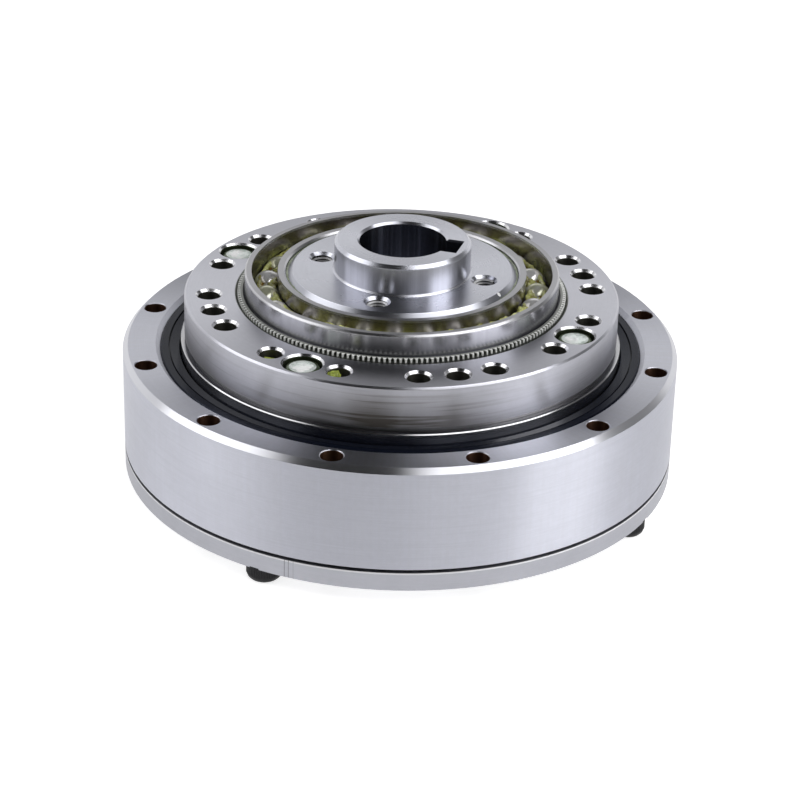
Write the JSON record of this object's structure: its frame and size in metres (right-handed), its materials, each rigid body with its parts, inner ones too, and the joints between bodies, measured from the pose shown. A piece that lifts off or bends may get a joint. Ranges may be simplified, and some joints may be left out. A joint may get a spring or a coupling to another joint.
{
  "type": "strain wave gearbox",
  "caption": "Hat-type strain wave gear unit with a cross-roller output bearing, a toothed circular spline flange and a keyed elliptical wave generator.",
  "frame": {"origin": "on the gear axis at the underside of the flexspline's brim, the plane that seats on the machine", "axes": "+Z along the gear axis towards the wave generator's boss; +X along the wave's long axis and through the middle hole of one group of output holes"},
  "size_m": [0.09, 0.09, 0.0411],
  "materials": {
    "hat_steel": "turned satin steel",
    "ring_steel": "ground satin steel",
    "pin_steel": "ground steel",
    "spline_steel": "turned satin steel",
    "plug_steel": "fine turned steel",
    "race_steel": "polished ground steel",
    "ball_steel": "polished",
    "cage_resin": "moulded amber resin",
    "black_rubber": "moulded satin",
    "case_steel": "pressed sheet",
    "black_screw": "black oxide",
    "zinc_screw": "zinc plated"
  },
  "bodies": {
    "housing": {"flexspline": "hat_steel", "bearing_outer_ring": "ring_steel", "roller_loading_plug": "ring_steel", "loading_plug_pin": "pin_steel", "oil_seal": "black_rubber", "seal_case": "case_steel", "seal_garter_spring": "case_steel", "brim_o_ring": "black_rubber", "brim_screws": "black_screw"},
    "output": {"circular_spline": "spline_steel", "bearing_inner_ring": "ring_steel", "spline_screws": "zinc_screw"},
    "wave_generator": {"wave_plug": "plug_steel", "wave_bearing_inner_race": "race_steel", "wave_bearing_outer_race": "race_steel"},
    "ball_set": {"bearing_balls": "ball_steel", "ball_cage": "cage_resin"},
    "roller_set": {"cross_rollers_a": "ball_steel", "cross_rollers_b": "ball_steel", "roller_spacers": "cage_resin"}
  },
  "joints": [
    {"name": "input_turn", "type": "hinge", "parent": "housing", "child": "wave_generator", "pos_m": [0, 0, 0], "axis": [0, 0, 1], "continuous": true, "deforming": ["flexspline"]},
    {"name": "output_turn", "type": "hinge", "parent": "housing", "child": "output", "pos_m": [0, 0, 0], "axis": [0, 0, 1], "continuous": true},
    {"name": "ball_set_turn", "type": "hinge", "parent": "housing", "child": "ball_set", "pos_m": [0, 0, 0], "axis": [0, 0, 1], "continuous": true},
    {"name": "roller_set_turn", "type": "hinge", "parent": "housing", "child": "roller_set", "pos_m": [0, 0, 0], "axis": [0, 0, 1], "continuous": true}
  ],
  "couplings": [
    {"joint": "output_turn", "follows": "input_turn", "ratio": 0.009901},
    {"joint": "ball_set_turn", "follows": "input_turn", "ratio": 0.445},
    {"joint": "roller_set_turn", "follows": "input_turn", "ratio": 0.0048}
  ]
}
